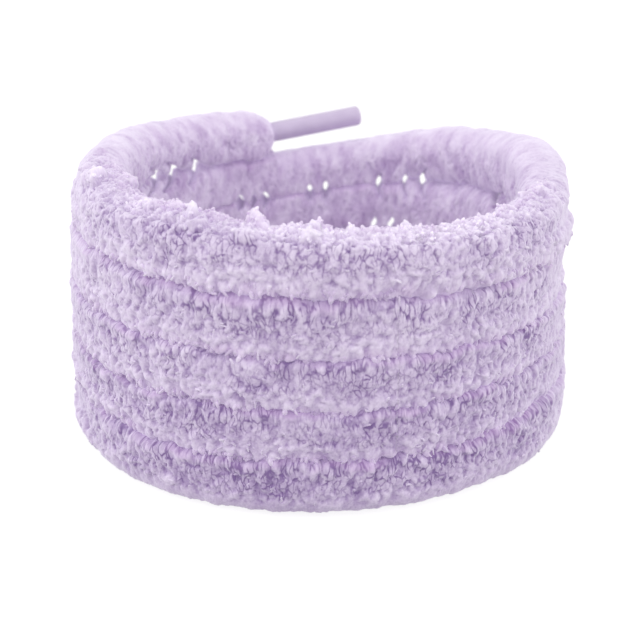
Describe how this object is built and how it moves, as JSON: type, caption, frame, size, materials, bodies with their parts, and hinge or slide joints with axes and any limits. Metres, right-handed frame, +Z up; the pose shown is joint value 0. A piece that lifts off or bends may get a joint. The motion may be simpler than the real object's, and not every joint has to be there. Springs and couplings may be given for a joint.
{
  "type": "fluffy lace coil",
  "caption": "Soft lilac chenille-pile round lace wound into a loose stacked ring, with smooth moulded plastic tips on its free ends.",
  "frame": {"origin": "centre of the object's footprint on the plane the coil rests on; the ring's own middle is 2.2 mm towards -X and 1.7 mm towards -Y of it, because the lower free end reaches out behind", "axes": "+Z up along the coil's axis; the upper free end lies at the +Y (back) side, its tip pointing towards +X; -Y is the front"},
  "size_m": [0.1096, 0.1158, 0.0552],
  "materials": {
    "pile": "matt short chenille pile",
    "core": "matt braided cord",
    "aglet": "satin moulded tip"
  },
  "bodies": {
    "turn_5": {"pile_turn_5": "pile", "core_turn_5": "core"},
    "turn_4": {"pile_turn_4": "pile", "core_turn_4": "core"},
    "turn_3": {"pile_turn_3": "pile", "core_turn_3": "core"},
    "turn_2": {"pile_turn_2": "pile", "core_turn_2": "core"},
    "turn_1": {"pile_turn_1": "pile", "core_turn_1": "core"},
    "top_tail": {"top_tail_pile": "pile", "top_tail_core": "core"},
    "top_aglet": {"top_aglet_sleeve": "aglet", "top_cord_tip": "core"},
    "bottom_tail": {"bottom_tail_pile": "pile", "bottom_tail_core": "core"},
    "bottom_aglet": {"bottom_aglet_sleeve": "aglet", "bottom_cord_tip": "core"}
  },
  "joints": [
    {"name": "stretch_4", "type": "slide", "parent": "turn_5", "child": "turn_4", "axis": [0, 0, 1], "range_m": [0, 0.012]},
    {"name": "stretch_3", "type": "slide", "parent": "turn_4", "child": "turn_3", "axis": [0, 0, 1], "range_m": [0, 0.012]},
    {"name": "stretch_2", "type": "slide", "parent": "turn_3", "child": "turn_2", "axis": [0, 0, 1], "range_m": [0, 0.012]},
    {"name": "stretch_1", "type": "slide", "parent": "turn_2", "child": "turn_1", "axis": [0, 0, 1], "range_m": [0, 0.012]},
    {"name": "top_tail_swing", "type": "hinge", "parent": "turn_1", "child": "top_tail", "pos_m": [-0.03657, 0.02617, 0.04817], "axis": [0, 0, 1], "range_deg": [-12, 30]},
    {"name": "top_aglet_lift", "type": "hinge", "parent": "top_tail", "child": "top_aglet", "pos_m": [-0.0157, 0.042, 0.04683], "axis": [0.2924, -0.9563, 0], "range_deg": [-3, 45]},
    {"name": "bottom_tail_swing", "type": "hinge", "parent": "turn_5", "child": "bottom_tail", "pos_m": [0.04479, -0.00168, 0.0059], "axis": [0, 0, -1], "range_deg": [0, 50]},
    {"name": "bottom_aglet_lift", "type": "hinge", "parent": "bottom_tail", "child": "bottom_aglet", "pos_m": [0.04819, 0.03411, 0.0059], "axis": [0.9821, -0.1883, 0], "range_deg": [-5, 40]}
  ],
  "couplings": [
    {"joint": "stretch_3", "follows": "stretch_4", "ratio": 1},
    {"joint": "stretch_2", "follows": "stretch_4", "ratio": 1},
    {"joint": "stretch_1", "follows": "stretch_4", "ratio": 1}
  ]
}
